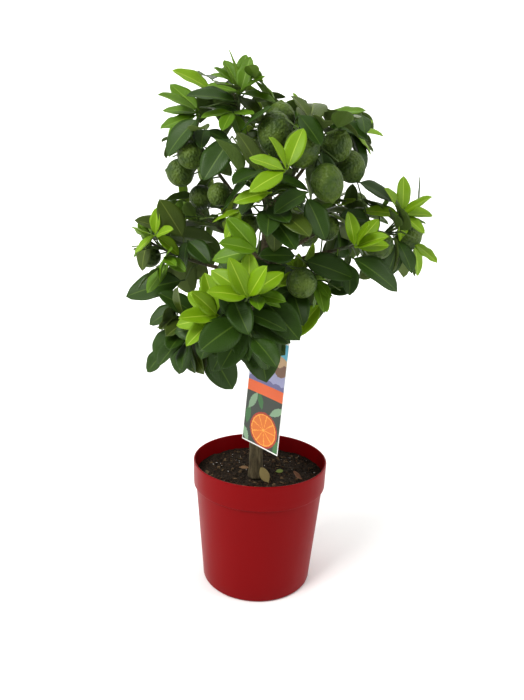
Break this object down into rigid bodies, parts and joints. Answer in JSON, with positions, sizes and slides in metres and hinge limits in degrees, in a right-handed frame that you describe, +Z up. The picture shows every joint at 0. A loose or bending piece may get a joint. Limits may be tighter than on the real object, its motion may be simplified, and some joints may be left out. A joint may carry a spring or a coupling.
{
  "type": "potted lemon tree",
  "caption": "Young lemon tree with a straight trunk, spreading boughs, leafy crown and unripe green fruit, standing in a round red plastic nursery pot.",
  "frame": {"origin": "centre of the pot's flat underside", "axes": "+Z up along the trunk, -Y towards the front of the tree, where the label hangs"},
  "size_m": [0.3897, 0.3618, 0.7098],
  "materials": {
    "pot_plastic": "satin moulded red plastic with faint flow streaks",
    "potting_soil": "coarse damp bark and peat with white grains",
    "bark": "matt olive-brown bark with fine upright cracks",
    "label_card": "thin printed plastic card",
    "foliage": "waxy green leaves, lime on new shoots, with rough green fruit"
  },
  "bodies": {
    "root": {"pot": "pot_plastic", "soil": "potting_soil", "trunk": "bark", "plant_label": "label_card", "bough_top": "bark", "bough_upper_left": "bark", "bough_upper_front": "bark", "bough_upper_right": "bark", "bough_right": "bark", "bough_left": "bark", "bough_front": "bark", "bough_lower_right": "bark", "bough_lower_front": "bark", "bough_lower_left": "bark", "bough_back_left": "bark", "bough_back_right": "bark", "bough_back_top": "bark", "bough_back_low": "bark", "foliage_top": "foliage", "foliage_upper_left": "foliage", "foliage_upper_front": "foliage", "foliage_upper_right": "foliage", "foliage_right": "foliage", "foliage_left": "foliage", "foliage_front": "foliage", "foliage_lower_right": "foliage", "foliage_lower_front": "foliage", "foliage_lower_left": "foliage", "foliage_back_left": "foliage", "foliage_back_right": "foliage", "foliage_back_top": "foliage", "foliage_back_low": "foliage"}
  },
  "joints": []
}
